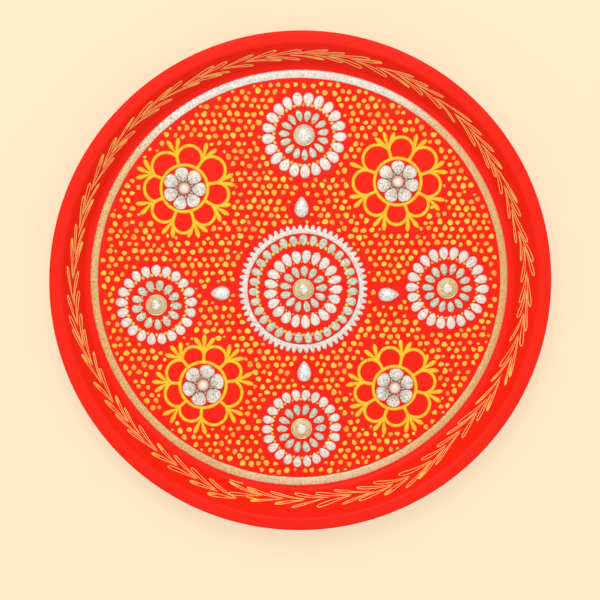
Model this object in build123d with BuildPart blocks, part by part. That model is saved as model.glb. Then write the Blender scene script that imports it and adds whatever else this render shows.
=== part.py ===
"""A round steel thali with glued and painted decoration, each piece a solid of its own.

Millimetres, +Z up. The origin is the middle of the resting face under the base.
The decoration is drawn in millimetres and then scaled to fill the field inside the band.
"""
import math
import os
import random

from build123d import *

# Plate: one pressed sheet with its edge rolled under
rim_diameter = 300
plate_depth = 25
sheet = 0.6
flange_width = 7.7
wall_run = 11.8
base_fillet = 4.5
rim_fillet = 2.5
hem_radius = 1.4
hem_straight = 0.2

# Glitter band round the base
band_edge_gap = 0.4
band_width_sides = 4.6
band_width_ends = 5.1
band_height = 0.5

# Glued drops
drop_gap = 0.8
drop_point_radius = 1.2
drop_height = 1.3
drop_edge_radius = 0.4
pearl_ring_gap = 0.9

# Cups and half pearls
cup_radius = 6.4
cup_wall = 0.6
cup_floor = 0.3
cup_height = 1.2
pearl_clearance = 0.05
pearl_rise = 3.6

# Medallion in the middle
medallion_centre = (2.0, -5.7)
medallion_inner_count = 13
medallion_inner_start = 87
medallion_inner_length = 6.4
medallion_middle_count = 21
medallion_middle_start = 85
medallion_middle_length = 8.7
medallion_outer_count = 31
medallion_outer_start = 90
medallion_outer_length = 6.4
medallion_middle_gap = 1.7
medallion_outer_gap = 2.9
lace_gap = 0.5
lace_width = 3.0
lace_tooth_length = 2.9
lace_tooth_count = 62
lace_tooth_share = 0.72
lace_height = 0.7

# Rosettes: two rings of drops round a pearl
rosette_inner_gap = 2.3
rosette_inner_length = 6.6
rosette_outer_gap = 1.7
rosettes = {
    "north": dict(centre=(2.4, 87.7), outer=(21, 83), outer_length=8.8, inner=(15, 80)),
    "east": dict(centre=(89.9, -5.5), outer=(22, 80), outer_length=8.5, inner=(14, 75)),
    "south": dict(centre=(0.9, -91.5), outer=(22, 83), outer_length=7.4, inner=(14, 78)),
    "west": dict(centre=(-87.2, -14.9), outer=(21, 90), outer_length=7.6, inner=(13, 80)),
}

# Flowers: a painted outline round set stones
outline_width = 2.2
outline_height = 0.8
spoke_length = 5.4
bud_root = 7.2
bud_length = 10.0
bud_width = 3.2
bud_root_width = 1.2
bud_fan_two = 42
bud_fan_three = 76
stone_gap = 0.4
stone_fit = 0.2
stone_height = 2.0
stone_bevel = 0.8
stone_root_width = 2.6
stone_root_fillet = 1.15
stone_corner = 2.6
setting_margin = 0.3
setting_height = 1.4
claw_reach = 2.6
claw_width = 1.0
flower_pearl_radius = 3.5
flower_pearl_rise = 2.8
flowers = {
    "northwest": dict(
        centre=(-69.8, 55.7), stones=(7, -3), stone_length=8.8,
        spokes=(103, 57, 10, -31, -74, -110, -156, -204),
        reaches=(12, 14, 13, 12, 13, 11, 10, 11.5), buds=(2, 2, 2, 3, 3, 2, 2, 3)),
    "northeast": dict(
        centre=(59.2, 59.5), stones=(7, 90), stone_length=8.9,
        spokes=(106, 62, 17, -28, -72, -112, -156, -201),
        reaches=(13, 14, 12, 11, 12, 11.5, 13, 13), buds=(3, 2, 2, 2, 2, 2, 2, 1)),
    "southwest": dict(
        centre=(-59.2, -64.2), stones=(6, 74), stone_length=8.8,
        spokes=(88, 45, 7, -44, -94, -137, -184, -231),
        reaches=(11, 11, 10.5, 12, 10, 10, 10, 10.5), buds=(3, 3, 2, 2, 2, 2, 3, 3)),
    "southeast": dict(
        centre=(58.0, -66.7), stones=(6, 84), stone_length=7.9,
        spokes=(77, 33, -11, -64, -109, -150, -190, -238),
        reaches=(14, 12, 12, 10.5, 12, 11.5, 12, 12), buds=(2, 3, 2, 3, 2, 2, 2, 2)),
}

# Spacer pearls between the medallion and the rosettes: (centre, length, direction of the point)
drop_pearl_width = 8.8
drop_pearl_point = 1.6
drop_pearls = {
    "north": ((0.9, 44.4), 13.0, 90),
    "east": ((54.0, -9.3), 13.0, 0),
    "south": ((2.5, -56.2), 13.0, 90),
    "west": ((-48.5, -7.9), 12.0, 180),
}

# Paint dots over the open field
field_margin = 1.3
dot_pitch = 5.05
dot_jitter = 0.9
dot_radii = (0.4, 0.6, 0.8, 1.0, 1.2, 1.4, 1.6, 1.8, 2.0)
smallest_field_dot = 0.8
largest_accent_dot = 0.8
dot_gap = 0.4
dot_height = 0.6
dot_seed = 11

# Garland of leaf loops on the wall
garland_height_share = 0.42
leaf_pairs = 63
garland_start = -100
garland_sweep = 346
leaf_angle = 8.8
leaf_width_share = 0.13
leaf_line = 0.4
leaf_root_share = 0.06
leaf_tip_share = 0.23
leaf_end_share = 0.1
paint_height = 0.45
paint_seat = 0.02

# Sizes that follow from the ones above
rim_radius = rim_diameter / 2
wall_top_radius = rim_radius - flange_width
base_radius = wall_top_radius - wall_run
wall_slope = wall_run / (plate_depth - sheet)
wall_angle = math.atan2(plate_depth - sheet, wall_run)
flat_radius = base_radius - base_fillet * math.tan(wall_angle / 2)
band_radius = flat_radius - band_edge_gap
field_radius = band_radius - band_width_ends


def flower_ring_radius(stone_length):
    """Middle of the painted ring that runs round the stones of a flower."""
    return flower_pearl_radius + setting_margin + 2 * stone_fit + stone_length + outline_width / 2


rosette_reaches = [
    math.hypot(*values["centre"]) + cup_radius + rosette_inner_gap + rosette_inner_length
    + rosette_outer_gap + values["outer_length"] for values in rosettes.values()]
flower_reaches = [
    math.hypot(*values["centre"]) + flower_ring_radius(values["stone_length"])
    + max(max(values["reaches"]) + outline_width / 2, bud_root + bud_length)
    for values in flowers.values()]
unit = field_radius / (max(rosette_reaches + flower_reaches) + field_margin)

os.makedirs("parts", exist_ok=True)


def on_field(point):
    """A point of the drawn design, scaled to the plate's field."""
    return (point[0] * unit, point[1] * unit)


def polar(radius, angle, centre=(0, 0)):
    """The point at a radius and an angle in degrees from a centre."""
    turn = math.radians(angle)
    return (centre[0] + radius * math.cos(turn), centre[1] + radius * math.sin(turn))


def keep(shape, label):
    """Name a finished piece and write it out."""
    shape.label = label
    export_step(shape, f"parts/{label}.step")


def teardrop(length, width, point_radius):
    """A flat drop along +X with its point at the origin: two arcs joined by their tangent lines."""
    round_radius = width / 2
    lean = math.asin((round_radius - point_radius) / (length - round_radius - point_radius))
    point_x = point_radius * (1 - math.sin(lean))
    point_y = point_radius * math.cos(lean)
    round_x = length - round_radius * (1 + math.sin(lean))
    round_y = round_radius * math.cos(lean)
    with BuildSketch() as outline:
        with BuildLine():
            ThreePointArc((point_x, point_y), (0, 0), (point_x, -point_y))
            Line((point_x, -point_y), (round_x, -round_y))
            ThreePointArc((round_x, -round_y), (length, 0), (round_x, round_y))
            Line((round_x, round_y), (point_x, point_y))
        make_face()
    return outline.sketch


def width_on_ring(outer_radius, count, gap):
    """The width that a round-ended drop can have, so that neighbours on a ring stay a gap apart."""
    half_pitch = math.sin(math.pi / count)
    return (2 * outer_radius * half_pitch - gap) / (1 + half_pitch)


def place_on_ring(piece, label, centre, radius, count, start):
    """Copies of one piece that lies along +X, set round a centre on the floor of the plate."""
    with BuildPart() as group:
        with Locations((*centre, sheet)):
            with PolarLocations(radius, count, start):
                add(piece.part, clean=False)
    keep(group.part, label)


def drop_ring(label, centre, inner_radius, length, count, start):
    """A ring of glued drops with their points toward the centre, and paint dots between the points."""
    accent_radius = inner_radius + drop_point_radius * unit
    room = accent_radius * math.sin(math.pi / count) - 1.25 * drop_point_radius * unit - dot_gap
    fitting = [radius for radius in dot_radii if radius <= min(room, largest_accent_dot)]
    if fitting:
        for place in range(count):
            spot = polar(accent_radius, start + (place + 0.5) * 360 / count, centre)
            dots.append((*spot, fitting[-1]))
    width = width_on_ring(inner_radius + length, count, drop_gap * unit)
    with BuildPart() as drop:
        with BuildSketch():
            add(teardrop(length, width, drop_point_radius * unit))
        extrude(amount=drop_height)
        fillet(drop.edges().group_by(Axis.Z)[-1], drop_edge_radius * unit)
    place_on_ring(drop, label, centre, inner_radius, count, start)
    return inner_radius + length


def half_pearl(label, centre, radius, base, rise):
    """A flat-backed round pearl, the cap of a ball."""
    ball_radius = (radius ** 2 + rise ** 2) / (2 * rise)
    with BuildPart() as pearl:
        with Locations((*centre, base + rise - ball_radius)):
            Sphere(ball_radius)
        with Locations((*centre, base)):
            Cylinder(
                2 * ball_radius, 2 * ball_radius,
                align=(Align.CENTER, Align.CENTER, Align.MIN), mode=Mode.INTERSECT)
    keep(pearl.part, label)


def pearl_cup(label, centre):
    """A shallow metal cup that holds a half pearl."""
    with BuildPart() as cup:
        with Locations((*centre, sheet)):
            Cylinder(cup_radius * unit, cup_height, align=(Align.CENTER, Align.CENTER, Align.MIN))
        with Locations((*centre, sheet + cup_floor)):
            Cylinder(
                cup_radius * unit - cup_wall, cup_height,
                align=(Align.CENTER, Align.CENTER, Align.MIN), mode=Mode.SUBTRACT)
    keep(cup.part, label)


def pearl_in_cup(name, centre):
    """A cup and the half pearl seated in it."""
    pearl_cup(f"{name}_pearl_cup", centre)
    half_pearl(
        f"{name}_pearl", centre, cup_radius * unit - cup_wall - pearl_clearance,
        sheet + cup_floor, pearl_rise)


# The plate is turned from the line of its upper face, thickened downward by the sheet
with BuildPart() as thali_plate:
    with BuildSketch(Plane.XZ):
        with BuildLine():
            FilletPolyline(
                (0, sheet),
                (base_radius, sheet),
                (wall_top_radius, plate_depth),
                (rim_radius, plate_depth),
                (rim_radius, plate_depth - 2 * hem_radius - hem_straight),
                (rim_radius - hem_radius - hem_straight, plate_depth - 2 * hem_radius - hem_straight),
                radius=[base_fillet, rim_fillet, hem_radius, hem_radius])
            offset(amount=sheet, side=Side.RIGHT)
        make_face()
    revolve(axis=Axis.Z)
keep(thali_plate.part, "thali_plate")

# The glitter band lies flat just inside the bend of the wall
with BuildPart() as border_band:
    with BuildSketch(Plane.XY.offset(sheet)):
        Circle(band_radius)
        Ellipse(band_radius - band_width_sides, band_radius - band_width_ends, mode=Mode.SUBTRACT)
    extrude(amount=band_height)
keep(border_band.part, "border_band")

# Paint dots, gathered as the pieces are placed: (x, y, radius)
dots = []

# Medallion, from the pearl outward
medallion_middle = on_field(medallion_centre)
pearl_in_cup("medallion", medallion_middle)
reach = drop_ring(
    "medallion_inner_drops", medallion_middle, (cup_radius + pearl_ring_gap) * unit,
    medallion_inner_length * unit, medallion_inner_count, medallion_inner_start)
reach = drop_ring(
    "medallion_middle_drops", medallion_middle, reach + medallion_middle_gap * unit,
    medallion_middle_length * unit, medallion_middle_count, medallion_middle_start)
reach = drop_ring(
    "medallion_outer_drops", medallion_middle, reach + medallion_outer_gap * unit,
    medallion_outer_length * unit, medallion_outer_count, medallion_outer_start)
lace_inner = reach + lace_gap * unit
lace_valley = lace_inner + lace_width * unit
medallion_reach = lace_valley + lace_tooth_length * unit
tooth_width = lace_tooth_share * 2 * math.pi * lace_valley / lace_tooth_count
with BuildPart() as medallion_lace_ring:
    with BuildSketch(Plane.XY.offset(sheet)):
        with Locations(medallion_middle):
            Circle(lace_valley)
            with PolarLocations(lace_valley - tooth_width / 2, lace_tooth_count):
                SlotOverall(
                    lace_tooth_length * unit + tooth_width / 2, tooth_width,
                    align=(Align.MIN, Align.CENTER))
            Circle(lace_inner, mode=Mode.SUBTRACT)
    extrude(amount=lace_height)
keep(medallion_lace_ring.part, "medallion_lace_ring")

# Discs that the paint dots stay out of: (centre, radius)
taken = [(medallion_middle, medallion_reach)]

# Rosettes
for side, rosette in rosettes.items():
    middle = on_field(rosette["centre"])
    pearl_in_cup(f"rosette_{side}", middle)
    reach = drop_ring(
        f"rosette_{side}_inner_drops", middle, (cup_radius + rosette_inner_gap) * unit,
        rosette_inner_length * unit, *rosette["inner"])
    reach = drop_ring(
        f"rosette_{side}_outer_drops", middle, reach + rosette_outer_gap * unit,
        rosette["outer_length"] * unit, *rosette["outer"])
    taken.append((middle, reach))


def circle_through(first, second, third):
    """Centre and radius of the circle through three points."""
    with BuildLine(mode=Mode.PRIVATE) as path:
        ThreePointArc(first, second, third)
    arc = path.edges()[0]
    return ((arc.arc_center.X, arc.arc_center.Y), arc.radius)


def petal(inner_radius, outer_radius, count):
    """A flat petal along +X, one of a ring: straight sides, a round outer end and rounded corners."""
    half_angle = math.pi / count - math.asin(stone_gap * unit / 2 / outer_radius)
    corner_x = outer_radius * math.cos(half_angle)
    corner_y = outer_radius * math.sin(half_angle)
    root = stone_root_width * unit / 2
    with BuildSketch() as outline:
        with BuildLine():
            Polyline((corner_x, -corner_y), (inner_radius, -root), (inner_radius, root), (corner_x, corner_y))
            ThreePointArc((corner_x, corner_y), (outer_radius, 0), (corner_x, -corner_y))
        make_face()
        fillet(outline.vertices().group_by(Axis.X)[0], stone_root_fillet * unit)
        fillet(outline.vertices().group_by(Axis.X)[-1], stone_corner * unit)
    return outline.sketch


def flower(side, centre, stones, stone_length, spokes, reaches, buds):
    """One flower: stones held by a clawed setting, inside a ring, petals and buds in raised paint."""
    stone_count, stone_start = stones
    setting_radius = (flower_pearl_radius + setting_margin) * unit
    stone_root = setting_radius + stone_fit * unit
    stone_reach = stone_root + stone_length * unit
    outline = petal(stone_root, stone_reach, stone_count)
    with BuildPart() as petal_stone:
        with BuildSketch():
            add(outline)
        extrude(amount=stone_height)
        chamfer(petal_stone.edges().group_by(Axis.Z)[-1], stone_bevel * unit)
    place_on_ring(petal_stone, f"flower_{side}_petal_stones", centre, 0, stone_count, stone_start)

    with BuildSketch() as stone_space:
        add(outline)
        offset(amount=stone_fit * unit)
    with BuildPart() as setting:
        with BuildSketch(Plane.XY.offset(sheet)):
            with Locations(centre):
                Circle(setting_radius)
                with PolarLocations(0, stone_count, stone_start + 180 / stone_count):
                    SlotOverall(
                        setting_radius + claw_reach * unit, claw_width * unit,
                        align=(Align.MIN, Align.CENTER))
                with PolarLocations(0, stone_count, stone_start):
                    add(stone_space.sketch, mode=Mode.SUBTRACT)
        extrude(amount=setting_height)
    keep(setting.part, f"flower_{side}_setting")
    half_pearl(
        f"flower_{side}_pearl", centre, flower_pearl_radius * unit,
        sheet + setting_height, flower_pearl_rise)

    line = outline_width * unit
    ring_radius = flower_ring_radius(stone_length) * unit
    cusp_radius = ring_radius + spoke_length * unit
    bud = teardrop(bud_length * unit, bud_width * unit, bud_root_width * unit / 2)
    bud_places = []
    taken.append((centre, ring_radius + line / 2))
    with BuildPart() as painted:
        with BuildSketch(Plane.XY.offset(sheet)):
            with Locations(centre):
                Circle(ring_radius + line / 2)
                Circle(ring_radius - line / 2, mode=Mode.SUBTRACT)
            for index, angle in enumerate(spokes):
                following = spokes[(index + 1) % len(spokes)]
                if following > angle:
                    following -= 360
                cusp = polar(cusp_radius, angle, centre)
                tip = polar(ring_radius + reaches[index] * unit, (angle + following) / 2, centre)
                next_cusp = polar(cusp_radius, following, centre)
                with BuildLine(mode=Mode.PRIVATE) as petal_line:
                    ThreePointArc(cusp, tip, next_cusp)
                SlotArc(petal_line.edges()[0], line)
                with BuildLine(mode=Mode.PRIVATE) as spoke:
                    Line(polar(ring_radius, angle, centre), cusp)
                SlotArc(spoke.edges()[0], line)
                petal_centre, petal_radius = circle_through(cusp, tip, next_cusp)
                taken.append((petal_centre, petal_radius + line / 2))
                root = polar(ring_radius + bud_root * unit, angle, centre)
                fan = {1: 0, 2: bud_fan_two, 3: bud_fan_three}[buds[index]]
                for place in range(buds[index]):
                    turn = angle - fan / 2 + fan * place / max(buds[index] - 1, 1)
                    bud_places.append(Location((*root, 0), (0, 0, turn)))
                    for along in (0.35, 0.78):
                        taken.append((polar(along * bud_length * unit, turn, root), bud_width * unit / 2))
            with Locations(bud_places):
                add(bud)
        extrude(amount=outline_height)
    keep(painted.part, f"flower_{side}_outline")


for side, values in flowers.items():
    flower(side, on_field(values["centre"]), *[values[key] for key in values if key != "centre"])

# Spacer pearls: half of a drop turned about its long axis, lying on its flat back
for side, (centre, length, point_direction) in drop_pearls.items():
    middle = on_field(centre)
    long_axis = Plane(origin=(*middle, sheet), z_dir=(0, 0, 1)).rotated((0, 0, point_direction + 180))
    half_length = length * unit / 2
    with BuildPart() as drop_pearl:
        with BuildSketch(long_axis):
            with Locations((-half_length, 0)):
                add(teardrop(length * unit, drop_pearl_width * unit, drop_pearl_point * unit))
            Rectangle(
                length * unit, drop_pearl_width * unit,
                align=(Align.CENTER, Align.MIN), mode=Mode.INTERSECT)
        revolve(axis=Axis(long_axis.origin, long_axis.x_dir), revolution_arc=180)
    keep(drop_pearl.part, f"drop_pearl_{side}")
    taken.append((middle, half_length))

# Paint dots: a jittered triangular grid, each dot as large as the open space round it allows
rng = random.Random(dot_seed)
placed = []
row_pitch = dot_pitch * math.sqrt(3) / 2
row_count = math.ceil(field_radius / row_pitch)
column_count = math.ceil(field_radius / dot_pitch) + 1
for row in range(-row_count, row_count + 1):
    for column in range(-column_count, column_count + 1):
        x = (column + row % 2 / 2) * dot_pitch + rng.uniform(-dot_jitter, dot_jitter)
        y = row * row_pitch + rng.uniform(-dot_jitter, dot_jitter)
        wanted = rng.choice(dot_radii[-3:])
        free = field_radius - math.hypot(x, y)
        for (taken_x, taken_y), taken_radius in taken:
            free = min(free, math.hypot(x - taken_x, y - taken_y) - taken_radius)
        for dot_x, dot_y, dot_radius in placed[-6 * column_count:]:
            free = min(free, math.hypot(x - dot_x, y - dot_y) - dot_radius)
        room = min(wanted, free - dot_gap)
        fitting = [radius for radius in dot_radii if smallest_field_dot <= radius <= room]
        if fitting:
            placed.append((x, y, fitting[-1]))
dots += placed
with BuildPart() as field_dots:
    with BuildSketch(Plane.XY.offset(sheet)):
        for radius in dot_radii:
            with Locations([(x, y) for x, y, dot_radius in dots if dot_radius == radius]):
                Circle(radius)
    extrude(amount=dot_height, clean=False)
keep(field_dots.part, "field_dots")

# Garland: leaf loops drawn in plan and cut out of a thin shell of paint on the wall
garland_radius = base_radius + (garland_height_share * plate_depth - sheet) * wall_slope
leaf_width = leaf_width_share * wall_run
paint_run = paint_height / math.sin(wall_angle)
seat_run = paint_seat / math.sin(wall_angle)
leaf_outside = (leaf_width / 2, 0, Mode.ADD)
leaf_inside = (leaf_width / 2 - leaf_line, leaf_end_share, Mode.SUBTRACT)


def leaf_point(side, share, shift):
    """A point along a leaf, from its root at 0 to its tip at 1, shifted across it."""
    offset_out = wall_run * (leaf_root_share + (leaf_tip_share - leaf_root_share) * share)
    return polar(garland_radius + side * offset_out + shift, -leaf_angle * share)


with BuildPart() as leaf_pair:
    with BuildSketch():
        for half_width, margin, mode in (leaf_outside, leaf_inside):
            for side in (1, -1):
                with BuildLine():
                    for shift in (half_width, -half_width):
                        ThreePointArc(
                            leaf_point(side, margin, 0),
                            leaf_point(side, 0.5, shift),
                            leaf_point(side, 1 - margin, 0))
                make_face(mode=mode)
    extrude(amount=plate_depth)
    with BuildSketch(Plane.XZ):
        with BuildLine():
            Polyline(
                (base_radius - seat_run, sheet),
                (wall_top_radius - seat_run, plate_depth),
                (wall_top_radius - seat_run - paint_run, plate_depth),
                (base_radius - seat_run - paint_run, sheet),
                close=True)
        make_face()
    revolve(axis=Axis.Z, mode=Mode.INTERSECT)

# The copies don't meet, so they are gathered as they are
garland_turns = PolarLocations(0, leaf_pairs, garland_start, garland_sweep, endpoint=True)
wall_garland = Compound([leaf_pair.part.moved(turn) for turn in garland_turns.local_locations])
keep(wall_garland, "wall_garland")
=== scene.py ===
"""Looks of the decorated puja thali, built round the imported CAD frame. Metres, +Z up."""
import math
import random
from functools import cache
from types import SimpleNamespace

import bmesh
import bpy
from mathutils import Matrix, Vector


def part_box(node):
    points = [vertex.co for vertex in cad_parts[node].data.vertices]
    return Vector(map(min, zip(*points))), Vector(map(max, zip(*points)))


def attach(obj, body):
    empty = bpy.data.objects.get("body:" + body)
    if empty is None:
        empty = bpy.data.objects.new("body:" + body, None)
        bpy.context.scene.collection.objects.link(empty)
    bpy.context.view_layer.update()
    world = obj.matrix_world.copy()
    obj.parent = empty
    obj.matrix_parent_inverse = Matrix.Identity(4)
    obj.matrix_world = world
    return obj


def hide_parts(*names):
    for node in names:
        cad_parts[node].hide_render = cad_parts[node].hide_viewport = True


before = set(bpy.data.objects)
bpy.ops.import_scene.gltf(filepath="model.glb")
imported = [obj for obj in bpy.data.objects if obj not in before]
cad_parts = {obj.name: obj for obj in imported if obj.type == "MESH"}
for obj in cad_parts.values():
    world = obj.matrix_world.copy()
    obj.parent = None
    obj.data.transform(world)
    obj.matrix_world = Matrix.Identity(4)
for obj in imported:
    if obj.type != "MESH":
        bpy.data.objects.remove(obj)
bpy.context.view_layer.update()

# Plate: one pressed steel sheet, flat base, sloped wall, flat flange and an edge rolled under.
# It is enamelled red all over with a satin gloss. Its profile is turned about the upright axis.
SHEET = 0.0006
FLOOR = SHEET
FLOOR_RINGS = (0, 0.03, 0.06, 0.09, 0.12)
BASE_RADIUS = 0.1305
WALL_TOP_RADIUS = 0.1423
RIM_RADIUS = 0.1499
RIM_TOP = 0.025
HEM_DEPTH = 0.003
HEM_TUCK = 0.0016
BASE_BEND = 0.0045
FLANGE_BEND = 0.0025
HEM_BEND = 0.0014
UNEVENNESS = 0.0002


def linear(red, green, blue):
    """A colour given as 0 to 255 screen values, as the shader wants it."""
    def channel(value):
        value /= 255
        return value / 12.92 if value <= 0.04045 else ((value + 0.055) / 1.055) ** 2.4
    return (channel(red), channel(green), channel(blue), 1)


def bend(corner, before, after, radius, steps):
    """Points of a fillet at a corner between two straight runs, in the plane of the profile."""
    corner, before, after = Vector(corner), Vector(before), Vector(after)
    run_in = (before - corner).normalized()
    run_out = (after - corner).normalized()
    half = run_in.angle(run_out) / 2
    centre = corner + (run_in + run_out).normalized() * (radius / math.sin(half))
    first = (corner + run_in * (radius / math.tan(half)) - centre).normalized()
    last = (corner + run_out * (radius / math.tan(half)) - centre).normalized()
    return [centre + first.slerp(last, step / steps) * radius for step in range(steps + 1)]


def turned(bm, profile, steps):
    """Spin a line of (radius, height) points into a closed skin."""
    verts = [bm.verts.new((point[0], 0, point[1])) for point in profile]
    edges = [bm.edges.new(pair) for pair in zip(verts, verts[1:])]
    bmesh.ops.spin(
        bm, geom=verts + edges, cent=(0, 0, 0), axis=(0, 0, 1),
        angle=2 * math.pi, steps=steps, use_merge=True)
    bmesh.ops.remove_doubles(bm, verts=bm.verts, dist=1e-7)
    bmesh.ops.recalc_face_normals(bm, faces=bm.faces)


def piece(bm, node, material, smooth=True):
    """Make a finished piece that stands for a CAD node and moves with the thali."""
    mesh = bpy.data.meshes.new(f"{node}_look")
    bm.to_mesh(mesh)
    bm.free()
    mesh.polygons.foreach_set("use_smooth", [smooth] * len(mesh.polygons))
    mesh.materials.append(material)
    made = bpy.data.objects.new(f"{node}_look", mesh)
    bpy.context.scene.collection.objects.link(made)
    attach(made, "root")
    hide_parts(node)
    return made


def new_material(name, roughness, metallic=0.0):
    """A material with one principled shader, given with that shader and the node tree."""
    material = bpy.data.materials.new(name)
    material.use_nodes = True
    shader = material.node_tree.nodes["Principled BSDF"]
    shader.inputs["Roughness"].default_value = roughness
    shader.inputs["Metallic"].default_value = metallic
    return material, shader, material.node_tree


def feed(tree, socket, value):
    """Link another socket to a socket, or give it a plain value."""
    if isinstance(value, bpy.types.NodeSocket):
        tree.links.new(value, socket)
    else:
        socket.default_value = value


def mixed(tree, factor, first, second, blend="MIX"):
    """One colour made of two."""
    mix = tree.nodes.new("ShaderNodeMix")
    mix.data_type = "RGBA"
    mix.blend_type = blend
    colours = [socket for socket in mix.inputs if socket.type == "RGBA"]
    feed(tree, mix.inputs["Factor"], factor)
    feed(tree, colours[0], first)
    feed(tree, colours[1], second)
    return next(socket for socket in mix.outputs if socket.type == "RGBA")


def noise(tree, scale):
    """Noise over the object's own coordinates."""
    place = tree.nodes.new("ShaderNodeTexCoord")
    texture = tree.nodes.new("ShaderNodeTexNoise")
    texture.inputs["Scale"].default_value = scale
    feed(tree, texture.inputs["Vector"], place.outputs["Object"])
    return texture.outputs["Fac"]


def uneven(tree, shader, scale, strength):
    """Make a surface slightly uneven."""
    bump = tree.nodes.new("ShaderNodeBump")
    bump.inputs["Strength"].default_value = strength
    bump.inputs["Distance"].default_value = UNEVENNESS
    feed(tree, bump.inputs["Height"], noise(tree, scale))
    feed(tree, shader.inputs["Normal"], bump.outputs["Normal"])


enamel, shader, tree = new_material("red_enamel", roughness=0.5)
reds = mixed(tree, noise(tree, scale=26), linear(250, 34, 11), linear(245, 30, 8))
feed(tree, shader.inputs["Base Color"], reds)
shader.inputs["Specular IOR Level"].default_value = 0.16
uneven(tree, shader, scale=420, strength=0.12)

upper = [(0, FLOOR), (BASE_RADIUS, FLOOR), (WALL_TOP_RADIUS, RIM_TOP), (RIM_RADIUS, RIM_TOP)]
hem_low = (RIM_RADIUS, RIM_TOP - HEM_DEPTH)
hem_end = (RIM_RADIUS - HEM_TUCK, RIM_TOP - HEM_DEPTH)
outside = [Vector((radius, FLOOR)) for radius in FLOOR_RINGS]
outside += bend(upper[1], upper[0], upper[2], BASE_BEND, steps=10)
outside += bend(upper[2], upper[1], upper[3], FLANGE_BEND, steps=8)
outside += bend(upper[3], upper[2], hem_low, HEM_BEND, steps=8)
outside += bend(hem_low, upper[3], hem_end, HEM_BEND, steps=6)
outside.append(Vector(hem_end))
underside = []
for index, point in enumerate(outside):
    ahead = outside[min(index + 1, len(outside) - 1)] - outside[max(index - 1, 0)]
    underside.append(point + Vector((ahead.y, -ahead.x)).normalized() * SHEET)
underside[0].x = 0
bm = bmesh.new()
turned(bm, outside + underside[::-1], steps=256)
piece(bm, "thali_plate", enamel)

# Border band: a line of glitter paste laid on the base just inside the bend of the wall.
# It is loose glitter in clear glue, pale gold and a little uneven; a painted reflection makes it silver at
# the top.
BAND_OUTER = 0.12725
BAND_SIDES = 0.0046
BAND_ENDS = 0.0050
BAND_RISE = 0.0005
BAND_RIPPLE = 0.000096
BAND_SECTION = (
    (0.0, 0.0), (0.04, 0.7), (0.2, 0.95), (0.5, 1.0), (0.8, 0.95), (0.96, 0.7), (1.0, 0.0), (0.0, 0.0))
# Direction in plan of the painted reflection on the band, toward the key light.
SHEEN_ANGLE = math.radians(96)
white = (1, 1, 1, 1)
faint_tints = [(0.0, (1.0, 0.86, 0.88, 1)), (0.18, white), (0.82, white), (1.0, (0.88, 1.0, 0.9, 1))]


def vector_math(tree, operation, first, second=(0, 0, 0)):
    """The result of a sum with vectors."""
    made = tree.nodes.new("ShaderNodeVectorMath")
    made.operation = operation
    feed(tree, made.inputs[0], first)
    feed(tree, made.inputs["Scale" if operation == "SCALE" else 1], second)
    return made.outputs["Value" if operation == "DOT_PRODUCT" else "Vector"]


def glitter_group():
    """Small flakes: two random values and a tilted normal for each cell."""
    tree = bpy.data.node_groups.new("glitter", "ShaderNodeTree")
    for name, way, kind in (
            ("Flakes per metre", "INPUT", "Float"), ("Tilt", "INPUT", "Float"),
            ("Flake", "OUTPUT", "Float"), ("Tint", "OUTPUT", "Float"), ("Normal", "OUTPUT", "Vector")):
        tree.interface.new_socket(name, in_out=way, socket_type=f"NodeSocket{kind}")
    given = tree.nodes.new("NodeGroupInput")
    result = tree.nodes.new("NodeGroupOutput")
    place = tree.nodes.new("ShaderNodeTexCoord")
    cells = tree.nodes.new("ShaderNodeTexVoronoi")
    feed(tree, cells.inputs["Vector"], place.outputs["Object"])
    feed(tree, cells.inputs["Scale"], given.outputs["Flakes per metre"])
    split = tree.nodes.new("ShaderNodeSeparateColor")
    feed(tree, split.inputs["Color"], cells.outputs["Color"])
    feed(tree, result.inputs["Flake"], split.outputs["Red"])
    feed(tree, result.inputs["Tint"], split.outputs["Green"])
    face = tree.nodes.new("ShaderNodeNewGeometry")
    centred = vector_math(tree, "SUBTRACT", cells.outputs["Color"], (0.5, 0.5, 0.5))
    lean = vector_math(tree, "SCALE", centred, given.outputs["Tilt"])
    tilted = vector_math(tree, "ADD", face.outputs["Normal"], lean)
    feed(tree, result.inputs["Normal"], vector_math(tree, "NORMALIZE", tilted))
    return tree


glitter_flakes = glitter_group()


def add_flakes(tree, shader, flakes, tilt):
    """Strew flakes over a material. They tilt its surface, and their random values are given back."""
    group = tree.nodes.new("ShaderNodeGroup")
    group.node_tree = glitter_flakes
    group.inputs["Flakes per metre"].default_value = flakes
    group.inputs["Tilt"].default_value = tilt
    feed(tree, shader.inputs["Normal"], group.outputs["Normal"])
    return group.outputs["Flake"], group.outputs["Tint"]


def ramp(tree, factor, stops):
    """Colours along a value, given as (position, colour) stops."""
    made = tree.nodes.new("ShaderNodeValToRGB")
    made.color_ramp.elements.remove(made.color_ramp.elements[1])
    made.color_ramp.elements[0].position, made.color_ramp.elements[0].color = stops[0]
    for position, colour in stops[1:]:
        made.color_ramp.elements.new(position).color = colour
    feed(tree, made.inputs["Fac"], factor)
    return made.outputs["Color"]


def glitter(name, flakes, tilt, stops):
    """Glitter in clear glue: flakes from dull to bright, a few of them faintly pink or green."""
    material, shader, tree = new_material(name, roughness=0.35, metallic=0.25)
    flake, tint = add_flakes(tree, shader, flakes, tilt)
    colour = mixed(tree, 1, ramp(tree, flake, stops), ramp(tree, tint, faint_tints), "MULTIPLY")
    feed(tree, shader.inputs["Base Color"], colour)
    return material


def shaded(material, colour):
    """Multiply a material's base colour by another colour of its tree; here that colour paints light or shade
    into it.
    """
    tree = material.node_tree
    base = tree.nodes["Principled BSDF"].inputs["Base Color"]
    feed(tree, base, mixed(tree, 1, base.links[0].from_socket, colour, "MULTIPLY"))


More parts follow.
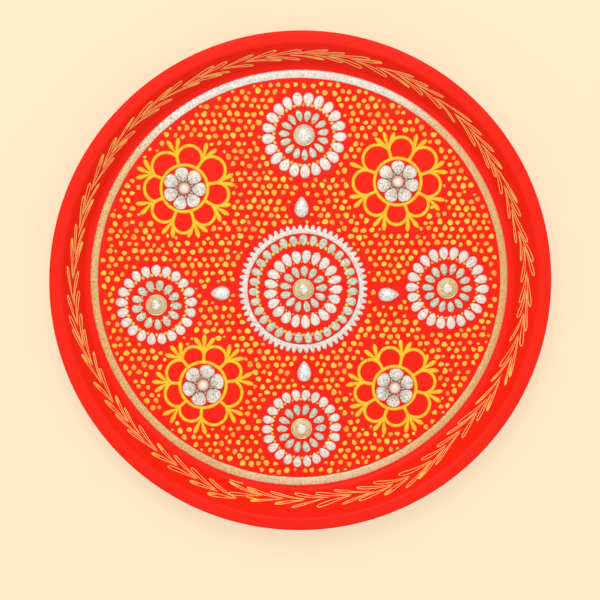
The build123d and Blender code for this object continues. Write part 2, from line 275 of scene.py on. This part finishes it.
band_look = glitter("band_glitter", flakes=1700, tilt=0.4, stops=[
    (0.0, linear(206, 200, 192)), (0.35, linear(236, 232, 226)), (1.0, linear(255, 253, 250))])
tree = band_look.node_tree
place = tree.nodes.new("ShaderNodeTexCoord")
# Painted reflection: the band's colour runs along one direction across the plate, silver-white on the side
# toward the key light, pale gold in the middle and paler again on the far side.
sheen_way = (math.cos(SHEEN_ANGLE), math.sin(SHEEN_ANGLE), 0)
upward = tree.nodes.new("ShaderNodeMapRange")
upward.inputs["From Min"].default_value = -BAND_OUTER
upward.inputs["From Max"].default_value = BAND_OUTER
feed(tree, upward.inputs["Value"], vector_math(tree, "DOT_PRODUCT", place.outputs["Object"], sheen_way))
shaded(band_look, ramp(tree, upward.outputs["Result"], [
    (0.0, linear(250, 234, 198)), (0.08, linear(242, 210, 146)), (0.5, linear(240, 201, 132)),
    (0.83, linear(244, 212, 156)), (0.92, linear(252, 255, 248))]))

bm = bmesh.new()
section = [(BAND_OUTER - BAND_SIDES * share, FLOOR + BAND_RISE * rise) for share, rise in BAND_SECTION]
turned(bm, section, steps=360)
for vert in bm.verts:
    angle = math.atan2(vert.co.y, vert.co.x)
    wide = BAND_SIDES + (BAND_ENDS - BAND_SIDES) * math.sin(angle) ** 2
    inward = (BAND_OUTER - math.hypot(vert.co.x, vert.co.y)) / BAND_SIDES * wide
    if inward > wide / 2:
        inward += BAND_RIPPLE * (1 + math.sin(37 * angle) * math.sin(11 * angle + 1))
    vert.co.x = (BAND_OUTER - inward) * math.cos(angle)
    vert.co.y = (BAND_OUTER - inward) * math.sin(angle)
piece(bm, "border_band", band_look)

# Medallion and rosettes: rings of glitter drops laid by hand round a half pearl in a gilt cup.
# Each drop is a small dome of glitter paste, pointed toward the pearl. No two are quite alike.
# The pearls have a golden coat, and a painted highlight makes them white on top. The top rosette's pearl is
# white all over.
RNG = random.Random(7)
DROP_RISE = 0.0013
DROP_TAPER = 0.26
DROP_LOBES = 0.05
DROP_CROWN = 0.22
DROP_SHIFT = 0.0002
DROP_TURN = 0.07
CUP_WALL = 0.0006
CUP_EDGE = 0.0003
CUP_SHEET = 0.0003


def middle(points):
    """Middle of the box round some points, in plan."""
    xs, ys = [point[0] for point in points], [point[1] for point in points]
    return Vector(((min(xs) + max(xs)) / 2, (min(ys) + max(ys)) / 2))


def box_of(node):
    """Middle in plan, two widths, foot and height of a CAD node's box."""
    low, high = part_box(node)
    return SimpleNamespace(
        centre=middle((low, high)), wide=high[0] - low[0], deep=high[1] - low[1],
        foot=low[2], rise=high[2] - low[2])


def islands(node):
    """Corner points of each separate solid in a CAD node, sorted by place."""
    bm = bmesh.new()
    bm.from_mesh(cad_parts[node].data)
    bmesh.ops.remove_doubles(bm, verts=bm.verts, dist=1e-6)
    found, seen = [], set()
    for first in bm.verts:
        if first in seen:
            continue
        group, waiting = [], [first]
        seen.add(first)
        while waiting:
            vert = waiting.pop()
            group.append(vert.co.copy())
            for edge in vert.link_edges:
                other = edge.other_vert(vert)
                if other not in seen:
                    seen.add(other)
                    waiting.append(other)
        found.append(group)
    bm.free()
    return sorted(found, key=lambda group: [round(value, 4) for value in middle(group)])


def lie(solid, heart):
    """Angle of a solid round a heart, its nearest and farthest reach from there, and its width."""
    spot = sum((point.xy for point in solid), Vector((0, 0))) / len(solid)
    angle = math.atan2(spot.y - heart.y, spot.x - heart.x)
    along = Vector((math.cos(angle), math.sin(angle)))
    sideways = Vector((-along.y, along.x))
    reach = [(point.xy - heart).dot(along) for point in solid]
    side = [(point.xy - heart).dot(sideways) for point in solid]
    return angle, min(reach), max(reach), max(side) - min(side)


@cache
def unit_dome(segments):
    """Corners and faces of a half ball on a flat back, radius 1."""
    bm = bmesh.new()
    bmesh.ops.create_uvsphere(bm, u_segments=segments, v_segments=segments // 2, radius=1)
    bm.verts.index_update()
    corners = [(vert.co.x, vert.co.y, max(vert.co.z, 0)) for vert in bm.verts]
    faces = [[vert.index for vert in face.verts] for face in bm.faces]
    bm.free()
    return corners, faces


def new_heap():
    """Domes collected before they are made into a mesh together."""
    return {"corners": [], "faces": [], "tints": [], "heights": []}


def add_drop(
        heap, centre, angle, length, width, rise, base,
        segments=12, taper=0.0, lobes=0.0, crown=1.0, tint=0.5):
    """A dome on a flat back. Taper draws out a point on the -X side, a low crown flattens the top."""
    widest = max(
        math.sqrt(1 - (step / 20) ** 2) * ((1 + step / 20) / 2) ** taper for step in range(-19, 20))
    turn = Matrix.Translation((centre[0], centre[1], base)) @ Matrix.Rotation(angle, 4, "Z")
    corners, faces = unit_dome(segments)
    first = len(heap["corners"])
    phase = angle * 7
    for x, y, z in corners:
        narrow = max((1 + x) / 2, 0) ** taper
        around = math.atan2(y, x)
        swell = 1 + lobes * (math.sin(2 * around + phase) + math.sin(3 * around - 2 * phase)) / 2
        heap["corners"].append(turn @ Vector((
            x * swell * length / 2,
            y * swell * narrow / widest * width / 2,
            z ** crown * narrow ** 0.5 * rise)))
        heap["tints"].append(tint)
        heap["heights"].append(z)
    heap["faces"].extend([[first + index for index in face] for face in faces])


def add_heap(bm, heap):
    """Put the collected domes into a bmesh."""
    mesh = bpy.data.meshes.new("heap")
    mesh.from_pydata(heap["corners"], [], heap["faces"])
    for name in ("tint", "height"):
        mesh.attributes.new(name, "FLOAT", "POINT").data.foreach_set("value", heap[f"{name}s"])
    bm.from_mesh(mesh)
    bpy.data.meshes.remove(mesh)
    return bm


def drop_ring(node, material, inward=0.0, outward=0.0, slim=1.0):
    """Hand-laid drops in place of one CAD ring. They can be drawn out at either end, and slimmer."""
    solids = islands(node)
    heart = middle([point for solid in solids for point in solid])
    heap = new_heap()
    for solid in solids:
        angle, near, far, width = lie(solid, heart)
        near -= inward
        far += outward
        along = Vector((math.cos(angle), math.sin(angle)))
        add_drop(
            heap, heart + along * ((near + far) / 2 + RNG.uniform(-DROP_SHIFT, DROP_SHIFT)),
            angle + RNG.uniform(-DROP_TURN, DROP_TURN),
            (far - near) * RNG.uniform(0.97, 1.05), width * slim * RNG.uniform(0.98, 1.08),
            DROP_RISE * RNG.uniform(0.7, 0.9), FLOOR, segments=16,
            taper=DROP_TAPER, lobes=DROP_LOBES, crown=DROP_CROWN, tint=RNG.random())
    piece(add_heap(bmesh.new(), heap), node, material)


def attribute(tree, name):
    """A value that the mesh holds at each corner."""
    held = tree.nodes.new("ShaderNodeAttribute")
    held.attribute_name = name
    return held.outputs["Fac"]


def pearl_material(name, stops, fleck):
    """A coated pearl: its colours from the foot of the dome to the top, which carry a painted highlight on
    top and in some a painted shade at the foot, with flecks that sparkle.
    """
    material, shader, tree = new_material(name, roughness=0.26, metallic=0.1)
    flake = add_flakes(tree, shader, flakes=1500, tilt=0.16)[0]
    coat_and_light = ramp(tree, attribute(tree, "height"), stops)
    sparkle = ramp(tree, flake, [(0.0, fleck), (0.5, white)])
    feed(tree, shader.inputs["Base Color"], mixed(tree, 1, coat_and_light, sparkle, "MULTIPLY"))
    shader.inputs["Coat Weight"].default_value = 0.5
    shader.inputs["Coat Roughness"].default_value = 0.15
    return material


def half_pearl(node, coat_and_light, segments, degrees=0, taper=0.0):
    """A half pearl on its flat back in place of a CAD node, its point turned away from an angle."""
    box = box_of(node)
    heap = new_heap()
    add_drop(
        heap, box.centre, math.radians(degrees), max(box.wide, box.deep), min(box.wide, box.deep),
        box.rise, box.foot, segments=segments, taper=taper)
    piece(add_heap(bmesh.new(), heap), node, coat_and_light)


def pearl_cup(node):
    """A shallow gilt cup with a rounded lip, glued to the base."""
    box = box_of(node)
    radius = box.wide / 2
    lip = radius - CUP_WALL
    top = box.foot + box.rise
    rounding = CUP_EDGE / 3
    bm = bmesh.new()
    turned(bm, [
        (0, box.foot), (radius, box.foot), (radius, top - CUP_EDGE), (radius - rounding, top - rounding),
        (radius - CUP_EDGE, top), (lip + rounding, top - rounding), (lip, top - CUP_EDGE),
        (lip, box.foot + CUP_SHEET), (0, box.foot + CUP_SHEET)], steps=64)
    bmesh.ops.translate(bm, verts=bm.verts, vec=(*box.centre, 0))
    piece(bm, node, gilt)


white_drop = glitter("white_drop_glitter", flakes=1600, tilt=0.4, stops=[
    (0.0, linear(210, 188, 176)), (0.3, linear(240, 222, 209)), (1.0, linear(255, 249, 240))])
grey_drop = glitter("grey_drop_glitter", flakes=1600, tilt=0.45, stops=[
    (0.0, linear(172, 170, 146)), (0.4, linear(206, 202, 178)), (1.0, linear(242, 240, 222))])
# Painted highlight: the cream pearls turn white at the top of the dome.
cream_pearl = pearl_material("cream_pearl", [
    (0.2, linear(248, 236, 200)), (0.66, linear(238, 222, 172)), (0.8, linear(204, 190, 136)),
    (0.9, linear(232, 220, 184)), (0.96, linear(255, 251, 248))], fleck=linear(196, 190, 172))
# Painted highlight: this pearl also turns whiter at the top of the dome.
white_pearl = pearl_material("white_pearl", [
    (0.2, linear(255, 248, 228)), (0.7, linear(236, 232, 212)), (0.98, linear(255, 253, 248))],
    fleck=linear(196, 194, 184))
gilt, shader, tree = new_material("gilt_cup", roughness=0.3, metallic=0.6)
golds = mixed(tree, noise(tree, scale=900), linear(252, 242, 212), linear(244, 228, 184))
feed(tree, shader.inputs["Base Color"], golds)

drop_ring("medallion_outer_drops", grey_drop, inward=0.0006, slim=0.92)
drop_ring("medallion_middle_drops", white_drop)
drop_ring("medallion_inner_drops", grey_drop, outward=0.0009, slim=0.95)
pearl_cup("medallion_pearl_cup")
half_pearl("medallion_pearl", cream_pearl, segments=48)
for side in ("north", "east", "south", "west"):
    drop_ring(f"rosette_{side}_outer_drops", white_drop)
    drop_ring(f"rosette_{side}_inner_drops", grey_drop, inward=0.0007, slim=0.88)
    pearl_cup(f"rosette_{side}_pearl_cup")
    coat_and_light = white_pearl if side == "north" else cream_pearl
    half_pearl(f"rosette_{side}_pearl", coat_and_light, segments=48)

# Lace ring: the glitter edging round the medallion, a corded ring with a fringe of short teeth.
# It is white glitter paste on a thin braid, laid round the outer drops.
TOOTH_COUNT = 62
TOOTH_LENGTH = 0.0046
TOOTH_WIDTH = 0.0032
TOOTH_OVERHANG = 0.0029
TOOTH_TAPER = 0.16
TOOTH_CROWN = 0.4
TOOTH_SHIFT = 0.0004
TOOTH_TURN = 0.12
CORD_WIDTH = 0.0030
CORD_SECTION = (
    (0.0, 0.0), (0.02, 0.7), (0.2, 0.95), (0.5, 0.8), (0.8, 0.95), (0.98, 0.7), (1.0, 0.0), (0.0, 0.0))
LACE_RISE = 0.0007

lace_look = glitter("lace_glitter", flakes=1700, tilt=0.45, stops=[
    (0.0, linear(200, 182, 170)), (0.35, linear(234, 220, 208)), (1.0, linear(255, 250, 242))])
box = box_of("medallion_lace_ring")
heart = box.centre
tip_radius = box.wide / 2
inner_radius = tip_radius - TOOTH_OVERHANG - CORD_WIDTH
bm = bmesh.new()
section = [(inner_radius + CORD_WIDTH * share, FLOOR + LACE_RISE * rise) for share, rise in CORD_SECTION]
turned(bm, section, steps=216)
bmesh.ops.translate(bm, verts=bm.verts, vec=(*heart, 0))
heap = new_heap()
for tooth in range(TOOTH_COUNT):
    angle = 2 * math.pi * tooth / TOOTH_COUNT
    out = tip_radius - TOOTH_LENGTH / 2 - RNG.uniform(0.0, TOOTH_SHIFT)
    add_drop(
        heap, heart + out * Vector((math.cos(angle), math.sin(angle))),
        angle + math.pi + RNG.uniform(-TOOTH_TURN, TOOTH_TURN),
        TOOTH_LENGTH, TOOTH_WIDTH * RNG.uniform(0.88, 1.0), LACE_RISE, FLOOR,
        taper=TOOTH_TAPER, crown=TOOTH_CROWN, tint=RNG.random())
piece(add_heap(bm, heap), "medallion_lace_ring", lace_look)

# Flowers: clear stones set round a small pearl, inside an outline squeezed on in yellow paint.
# The paint stands up as a round bead. The claws of the setting show between the stones.
# Angles are in degrees, and how far each petal reaches past the ring is in millimetres.
LINE = 0.0022
OUTLINE_RISE = 0.0008
OUTLINE_FLATNESS = 0.7
RING_STEPS = 60
SPOKE = 0.0054
BUD_ROOT = 0.0072
BUD_LENGTH = 0.0100
BUD_WIDTH = 0.0032
BUD_FANS = {1: 0, 2: 42, 3: 76}
BUD_SECTION = ((0, 0.3), (0.25, 0.5), (0.5, 0.8), (0.72, 1.0), (0.88, 0.8), (0.97, 0.4), (1, 0.1))
STONE_RISE = 0.0020
STONE_LAP = 0.0002
STONE_HEART = 0.55
STONE_TIERS = ((0.72, 1.0), (0.94, 0.9), (1.0, 0.55))
SETTING_RADIUS = 0.0038
SETTING_EDGE = 0.0003
SETTING_SIDE = 0.8
CLAW_REACH = 0.0049
CLAW_LENGTH = 0.0030
CLAW_WIDTH = 0.0009
flowers = {
    "northwest": dict(
        ring=0.0141, stones=7, first_stone=-3,
        spokes=(103, 57, 10, -31, -74, -110, -156, -204),
        reaches=(12, 14, 13, 12, 13, 11, 10, 11.5), buds=(2, 2, 2, 3, 3, 2, 2, 3)),
    "northeast": dict(
        ring=0.0142, stones=7, first_stone=90,
        spokes=(106, 62, 17, -28, -72, -112, -156, -201),
        reaches=(13, 14, 12, 11, 12, 11.5, 13, 13), buds=(3, 2, 2, 2, 2, 2, 2, 1)),
    "southwest": dict(
        ring=0.0141, stones=6, first_stone=74,
        spokes=(88, 45, 7, -44, -94, -137, -184, -231),
        reaches=(11, 11, 10.5, 12, 10, 10, 10, 10.5), buds=(3, 3, 2, 2, 2, 2, 3, 3)),
    "southeast": dict(
        ring=0.0132, stones=6, first_stone=84,
        spokes=(77, 33, -11, -64, -109, -150, -190, -238),
        reaches=(14, 12, 12, 10.5, 12, 11.5, 12, 12), buds=(2, 3, 2, 3, 2, 2, 2, 2)),
}


def polar(radius, degrees, centre=(0, 0)):
    """The point at a radius and an angle from a centre."""
    angle = math.radians(degrees)
    return Vector((centre[0] + radius * math.cos(angle), centre[1] + radius * math.sin(angle)))


def arc_points(first, second, third, steps):
    """Points along the arc through three points."""
    ax, ay, bx, by, cx, cy = *first, *second, *third
    double = 2 * (ax * (by - cy) + bx * (cy - ay) + cx * (ay - by))
    squares = [x * x + y * y for x, y in (first, second, third)]
    centre = Vector((
        (squares[0] * (by - cy) + squares[1] * (cy - ay) + squares[2] * (ay - by)) / double,
        (squares[0] * (cx - bx) + squares[1] * (ax - cx) + squares[2] * (bx - ax)) / double))
    angles = [math.atan2(point[1] - centre.y, point[0] - centre.x) for point in (first, second, third)]
    sweep = (angles[2] - angles[0]) % (2 * math.pi)
    if (angles[1] - angles[0]) % (2 * math.pi) > sweep:
        sweep -= 2 * math.pi
    radius = (Vector(first) - centre).length
    return [
        polar(radius, math.degrees(angles[0] + sweep * step / steps), centre) for step in range(steps + 1)]


def strokes(bm, lines, radius):
    """Add round beads of paint along lines of (point, thickness), each closed or open."""
    curve = bpy.data.curves.new("strokes", "CURVE")
    curve.dimensions = "3D"
    curve.bevel_depth = radius
    curve.bevel_resolution = 2
    curve.use_fill_caps = True
    for points, closed in lines:
        spline = curve.splines.new("POLY")
        spline.points.add(len(points) - 1)
        spline.use_cyclic_u = closed
        for knot, (place, thickness) in zip(spline.points, points):
            knot.co = (*place, 1)
            knot.radius = thickness
    holder = bpy.data.objects.new("strokes", curve)
    bpy.context.scene.collection.objects.link(holder)
    mesh = bpy.data.meshes.new_from_object(holder.evaluated_get(bpy.context.evaluated_depsgraph_get()))
    bm.from_mesh(mesh)
    bpy.data.objects.remove(holder)
    bpy.data.curves.remove(curve)
    bpy.data.meshes.remove(mesh)


def paint(name, light, dark, roughness):
    """Raised paint with slightly uneven colour and a soft shine."""
    material, shader, tree = new_material(name, roughness)
    feed(tree, shader.inputs["Base Color"], mixed(tree, noise(tree, scale=240), light, dark))
    uneven(tree, shader, scale=900, strength=0.2)
    return material


def flower_outline(node, centre, ring, spokes, reaches, buds):
    """Ring, spokes, petals and buds of one flower as beads of yellow paint."""
    def on_floor(point, thickness=1.0):
        return (Vector((point.x, point.y, FLOOR)), thickness)
    lines = [([on_floor(polar(ring, 360 * step / RING_STEPS, centre)) for step in range(RING_STEPS)], True)]
    for index, angle in enumerate(spokes):
        after = spokes[(index + 1) % len(spokes)]
        after -= 360 if after > angle else 0
        cusp = polar(ring + SPOKE, angle, centre)
        next_cusp = polar(ring + SPOKE, after, centre)
        tip = polar(ring + reaches[index] / 1000, (angle + after) / 2, centre)
        petal = [on_floor(point, RNG.uniform(0.92, 1.04)) for point in arc_points(cusp, tip, next_cusp, 20)]
        lines.append((petal, False))
        lines.append(([on_floor(polar(ring, angle, centre)), on_floor(cusp)], False))
        root = polar(ring + BUD_ROOT, angle, centre)
        fan = BUD_FANS[buds[index]]
        for place in range(buds[index]):
            turn = angle - fan / 2 + fan * place / max(buds[index] - 1, 1)
            bud = [
                on_floor(polar(BUD_LENGTH * share, turn, root), BUD_WIDTH / LINE * thick)
                for share, thick in BUD_SECTION]
            lines.append((bud, False))
    bm = bmesh.new()
    strokes(bm, lines, LINE / 2)
    for vert in bm.verts:
        rise = max(vert.co.z - FLOOR, 0) * OUTLINE_RISE / (LINE / 2) * OUTLINE_FLATNESS
        vert.co.z = FLOOR + min(rise, OUTLINE_RISE)
    piece(bm, node, yellow_paint)


def flower_stones(node, centre, ring):
    """Petal-cut stones: an upright girdle, a narrow bevel, a slope of crown and a flat table."""
    bm = bmesh.new()
    tint = bm.verts.layers.float.new("tint")
    solids = islands(node)
    for solid in solids:
        angle, near = lie(solid, centre)[:2]
        far = (ring - LINE / 2 + STONE_LAP) * RNG.uniform(0.96, 1.0)
        spread = 180 / len(solids) * RNG.uniform(0.95, 1.03)
        half = []
        for step in range(12):
            share = (1 - math.cos(math.pi * step / 11)) / 2
            bulge = math.sqrt((1 - share ** 5) * (1 - (1 - share) ** 5))
            half.append((near + (far - near) * share, spread * bulge))
        edge = [polar(radius, -turn) for radius, turn in half]
        edge += [polar(radius, turn) for radius, turn in half[-2:0:-1]]
        heart = Vector((near + STONE_HEART * (far - near), 0))
        back = [bm.verts.new((*point, 0)) for point in edge]
        stone = list(back)
        top = bm.faces.new(back)
        for rise, scale in STONE_TIERS:
            top = bmesh.ops.extrude_discrete_faces(bm, faces=[top])["faces"][0]
            for vert, point in zip(top.verts, edge):
                vert.co = (*(heart + (point - heart) * scale), STONE_RISE * rise)
            stone += top.verts
        bm.faces.new(back)
        # The tint layer runs from 0 at a stone's root to 1 at its outer end; the crystal material paints
        # shade with it toward the root.
        for vert in stone:
            vert[tint] = (vert.co.x - near) / (far - near)
        turn = Matrix.Translation((*centre, FLOOR)) @ Matrix.Rotation(angle, 4, "Z")
        bmesh.ops.transform(bm, matrix=turn, verts=stone)
    bmesh.ops.recalc_face_normals(bm, faces=bm.faces)
    piece(bm, node, crystal, smooth=False)


def flower_setting(node, centre, stones, first_stone):
    """A small disc with a claw in each gap between the stones."""
    rise = box_of(node).rise
    bm = bmesh.new()
    turned(bm, [
        (0, FLOOR), (SETTING_RADIUS, FLOOR), (SETTING_RADIUS, FLOOR + rise * SETTING_SIDE),
        (SETTING_RADIUS - SETTING_EDGE, FLOOR + rise), (0, FLOOR + rise)], steps=40)
    bmesh.ops.translate(bm, verts=bm.verts, vec=(*centre, 0))
    heap = new_heap()
    for claw in range(stones):
        degrees = first_stone + (claw + 0.5) * 360 / stones
        add_drop(
            heap, polar(CLAW_REACH, degrees, centre), math.radians(degrees),
            CLAW_LENGTH, CLAW_WIDTH, rise, FLOOR)
    piece(add_heap(bm, heap), node, peach_pearl)


yellow_paint = paint("yellow_paint", linear(255, 212, 26), linear(252, 190, 18), roughness=0.4)
# Painted shade darkens the flower pearls and the setting toward the foot; a painted highlight whitens the
# top.
peach_pearl = pearl_material("peach_pearl", [
    (0.25, linear(232, 190, 162)), (0.62, linear(246, 222, 200)), (1.0, linear(255, 246, 236))],
    fleck=linear(228, 226, 218))
crystal = glitter("crystal", flakes=1500, tilt=0.3, stops=[
    (0.0, linear(146, 140, 134)), (0.2, linear(222, 212, 200)), (0.6, linear(244, 236, 224)), (1.0, white)])
# Painted shade: the stones grey toward their roots, where they crowd round the setting, and turn white toward
# their outer ends.
shaded(crystal, ramp(crystal.node_tree, attribute(crystal.node_tree, "tint"), [
    (0.0, linear(200, 196, 190)), (0.4, linear(240, 238, 234)), (0.65, white)]))
shader = crystal.node_tree.nodes["Principled BSDF"]
shader.inputs["Coat Weight"].default_value = 0.7
shader.inputs["Coat Roughness"].default_value = 0.05

for side, flower in flowers.items():
    name = f"flower_{side}"
    centre = box_of(f"{name}_pearl").centre
    flower_outline(
        f"{name}_outline", centre, flower["ring"], flower["spokes"], flower["reaches"], flower["buds"])
    flower_stones(f"{name}_petal_stones", centre, flower["ring"])
    flower_setting(f"{name}_setting", centre, flower["stones"], flower["first_stone"])
    half_pearl(f"{name}_pearl", peach_pearl, segments=32)

# Spacer pearls: drop-shaped half pearls glued between the medallion and the rosettes.
# They have a white coat with silver flecks, greyed toward the foot by painted shade and white on top by a
# painted highlight, and lie on their flat backs.
# Painted shade greys the foot of each dome; a painted highlight whitens the top.
silver_pearl = pearl_material("silver_pearl", [
    (0.05, linear(186, 184, 160)), (0.35, linear(238, 240, 230)), (0.7, linear(252, 253, 248)), (1.0, white)],
    fleck=linear(176, 178, 168))
for side, degrees, taper in (("north", 270, 0.3), ("east", 180, 0.3), ("south", 270, 0.3), ("west", 0, 0.22)):
    half_pearl(
        f"drop_pearl_{side}", silver_pearl, segments=40, degrees=degrees, taper=taper)

# Field dots: drops of thick yellow-orange paint over all the open base, each put down by hand.
# They dry as low domes, and no two are the same size or quite round.
# The smallest are the accents between the drops of the rings, which are put down fuller.
DOT_RISE = 0.0006
DOT_SPREAD = 1.05
DOT_LOBES = 0.16
DOT_CROWN = 0.7
DOT_STRETCH = 0.16
DOT_TAPER = 0.15
ACCENT_WIDTH = 0.0018
ACCENT_SPREAD = 1.6

dot_paint, shader, tree = new_material("dot_paint", roughness=0.42)
# Painted shade: each dot is mixed to a dark brown-orange round its foot, where it meets the base.
foot_shade_mask = ramp(tree, attribute(tree, "height"), [(0.3, (0, 0, 0, 1)), (0.55, white)])
yellows = ramp(tree, attribute(tree, "tint"), [
    (0.0, linear(250, 152, 36)), (0.4, linear(255, 186, 52)), (1.0, linear(255, 210, 66))])
feed(tree, shader.inputs["Base Color"], mixed(tree, foot_shade_mask, linear(196, 92, 20), yellows))
uneven(tree, shader, scale=900, strength=0.2)
heap = new_heap()
for solid in islands("field_dots"):
    wide = max(point.x for point in solid) - min(point.x for point in solid)
    across = wide * (DOT_SPREAD if wide > ACCENT_WIDTH else ACCENT_SPREAD)
    stretch = RNG.uniform(0.0, DOT_STRETCH)
    add_drop(
        heap, middle(solid), RNG.uniform(0, math.pi), across, across * (1 - stretch),
        DOT_RISE * RNG.uniform(0.7, 1.0), FLOOR,
        taper=RNG.uniform(0, DOT_TAPER), lobes=DOT_LOBES, crown=DOT_CROWN, tint=RNG.random())
piece(add_heap(bmesh.new(), heap), "field_dots", dot_paint)

# Garland: a vine of narrow leaf loops drawn round the wall in gold paint with a fine nozzle.
# The leaves run in pairs, all pointing clockwise. The vine wavers, and its two ends miss each other.
# Where the nozzle stopped at a leaf's tip, the paint stands thick and yellow.
GARLAND_RADIUS = 0.1353
GARLAND_WAVER = (
    (-109, -1.2), (-85, -0.8), (-62, 1.6), (-44, -0.7), (-10, 1.2), (5, 1.8), (16, -0.4), (30, 0.8),
    (55, 1.4), (105, 0.6), (135, 2.0), (170, 1.0), (185, 1.7), (210, -0.3), (235, -0.3), (253, 2.2))
PAIRS = 63
GARLAND_START = -100
GARLAND_SWEEP = 353
LEAF_ANGLE = 10.0
LEAF_GIRTH = 0.00087
LEAF_ROOT = 0.0002
LEAF_TIP = 0.0030
LEAF_CURL = 1.3
LEAF_SHIFT = 1.1
LEAF_STEPS = 24
LINE_RADIUS = 0.00026
TIP_RADIUS = 0.0005
TIP_SECTION = ((0.68, 0.25), (0.8, 0.75), (0.9, 1.0), (0.97, 0.75), (1.0, 0.3))
THICK_TIPS = 0.3
YELLOW_DASH = (0.0018, -104.2, -100.5)
GOLD_DASH = (-0.0036, -109.4, -105.6)
gold_paint = paint("gold_paint", linear(255, 234, 148), linear(255, 214, 112), roughness=0.38)


def waver(degrees):
    """How far the vine strays outward at an angle, eased between the places listed in millimetres."""
    for (first, low), (last, high) in zip(GARLAND_WAVER, GARLAND_WAVER[1:]):
        if degrees <= last:
            share = max((degrees - first) / (last - first), 0)
            return (low + (high - low) * share * share * (3 - 2 * share)) / 1000
    return GARLAND_WAVER[-1][1] / 1000


def on_wall(offset, degrees):
    """A point on the wall's own profile, at an angle and a distance outward from the vine."""
    radius = GARLAND_RADIUS + waver(degrees) + offset
    below, above = next(pair for pair in zip(outside, outside[1:]) if pair[0].x <= radius <= pair[1].x)
    share = (radius - below.x) / (above.x - below.x)
    flat = polar(radius, degrees)
    return Vector((flat.x, flat.y, below.y + (above.y - below.y) * share))


def dash(offset, first, last):
    """A loose stroke along the wall between two angles."""
    return ([(on_wall(offset, first + (last - first) * step / 4), 1.0) for step in range(5)], False)


loops, tips = [], []
for pair in range(PAIRS):
    for side in (1, -1):
        turn = GARLAND_START + GARLAND_SWEEP * pair / (PAIRS - 1) + RNG.uniform(-LEAF_SHIFT, LEAF_SHIFT)
        span = LEAF_ANGLE * RNG.uniform(0.72, 1.05)
        girth = LEAF_GIRTH * RNG.uniform(0.6, 1.25)
        splay = LEAF_TIP * RNG.uniform(0.75, 1.1)
        loop = []
        for step in range(LEAF_STEPS):
            share = math.sin(math.pi * min(step, LEAF_STEPS - step) / LEAF_STEPS)
            swell = girth * share * math.sqrt(1 - share ** 6) * (1 if step <= LEAF_STEPS / 2 else -1)
            offset = side * (LEAF_ROOT + (splay - LEAF_ROOT) * share ** LEAF_CURL) + swell
            loop.append((on_wall(offset, turn - span * share), (0.6 + 0.4 * share) * RNG.uniform(0.85, 1.1)))
        loops.append((loop, True))
        if RNG.random() < THICK_TIPS:
            tip = [
                (on_wall(side * splay * share ** LEAF_CURL, turn - span * share), thick)
                for share, thick in TIP_SECTION]
            tips.append((tip, False))
tips.append(dash(*YELLOW_DASH))
loops.append(dash(*GOLD_DASH))
bm = bmesh.new()
strokes(bm, tips, TIP_RADIUS)
for face in bm.faces:
    face.material_index = 1
strokes(bm, loops, LINE_RADIUS)
piece(bm, "wall_garland", gold_paint).data.materials.append(yellow_paint)

# Stage: a pale cream table, a large soft light from the top of the picture, and the camera.
# None of this belongs to the thali.
ROOM_LIGHT = 0.75
TABLE_SIZE = 3
TABLE_GLOW = 0.68
KEY_PLACE = Vector((-0.2, 0.9, 1.6))
KEY_SIZE = 0.9
KEY_POWER = 12.5
SENSOR = 36
PICTURE_PIXELS = 600
FOCAL_PIXELS = 1846
SHIFT_PIXELS = (-1.8, -16.0)
CAMERA_LEAN = (math.radians(-2.5), math.radians(6.0))
CAMERA_DISTANCE = 1.1

world = bpy.data.worlds.new("room")
bpy.context.scene.world = world
world.use_nodes = True
world.node_tree.nodes["Background"].inputs["Color"].default_value = (1, 0.98, 0.95, 1)
world.node_tree.nodes["Background"].inputs["Strength"].default_value = ROOM_LIGHT

cream, shader, tree = new_material("cream_table", roughness=0.8)
shader.inputs["Base Color"].default_value = linear(164, 151, 120)
shader.inputs["Specular IOR Level"].default_value = 0
shader.inputs["Emission Color"].default_value = linear(255, 230, 202)
path = tree.nodes.new("ShaderNodeLightPath")
seen = path.outputs["Is Camera Ray"]
for ray in ("Is Glossy Ray", "Is Transmission Ray"):
    joined = tree.nodes.new("ShaderNodeMath")
    joined.operation = "ADD"
    joined.use_clamp = True
    feed(tree, joined.inputs[0], seen)
    feed(tree, joined.inputs[1], path.outputs[ray])
    seen = joined.outputs["Value"]
glow = tree.nodes.new("ShaderNodeMath")
glow.operation = "MULTIPLY"
glow.inputs[1].default_value = TABLE_GLOW
feed(tree, glow.inputs[0], seen)
feed(tree, shader.inputs["Emission Strength"], glow.outputs["Value"])
bm = bmesh.new()
bmesh.ops.create_grid(bm, x_segments=1, y_segments=1, size=TABLE_SIZE)
mesh = bpy.data.meshes.new("table")
bm.to_mesh(mesh)
bm.free()
mesh.materials.append(cream)
table = bpy.data.objects.new("table", mesh)
bpy.context.scene.collection.objects.link(table)

key = bpy.data.lights.new("key", "AREA")
key.size = KEY_SIZE
key.energy = KEY_POWER
key_holder = bpy.data.objects.new("key", key)
key_holder.location = KEY_PLACE
key_holder.rotation_euler = (-KEY_PLACE).to_track_quat("-Z", "Y").to_euler()
bpy.context.scene.collection.objects.link(key_holder)

camera = bpy.data.cameras.new("camera")
camera.sensor_width = SENSOR
camera.lens = SENSOR * FOCAL_PIXELS / PICTURE_PIXELS
camera.shift_x = SHIFT_PIXELS[0] / PICTURE_PIXELS
camera.shift_y = SHIFT_PIXELS[1] / PICTURE_PIXELS
camera_holder = bpy.data.objects.new("camera", camera)
aim = Vector((0, 0, RIM_TOP))
back = Vector((math.tan(CAMERA_LEAN[0]), math.tan(CAMERA_LEAN[1]), 1)).normalized()
right = Vector((0, 1, 0)).cross(back).normalized()
facing = Matrix((right, back.cross(right), back)).transposed().to_4x4()
camera_holder.matrix_world = Matrix.Translation(aim + back * CAMERA_DISTANCE) @ facing
bpy.context.scene.collection.objects.link(camera_holder)
bpy.context.scene.camera = camera_holder
bpy.context.scene.view_settings.view_transform = "Standard"
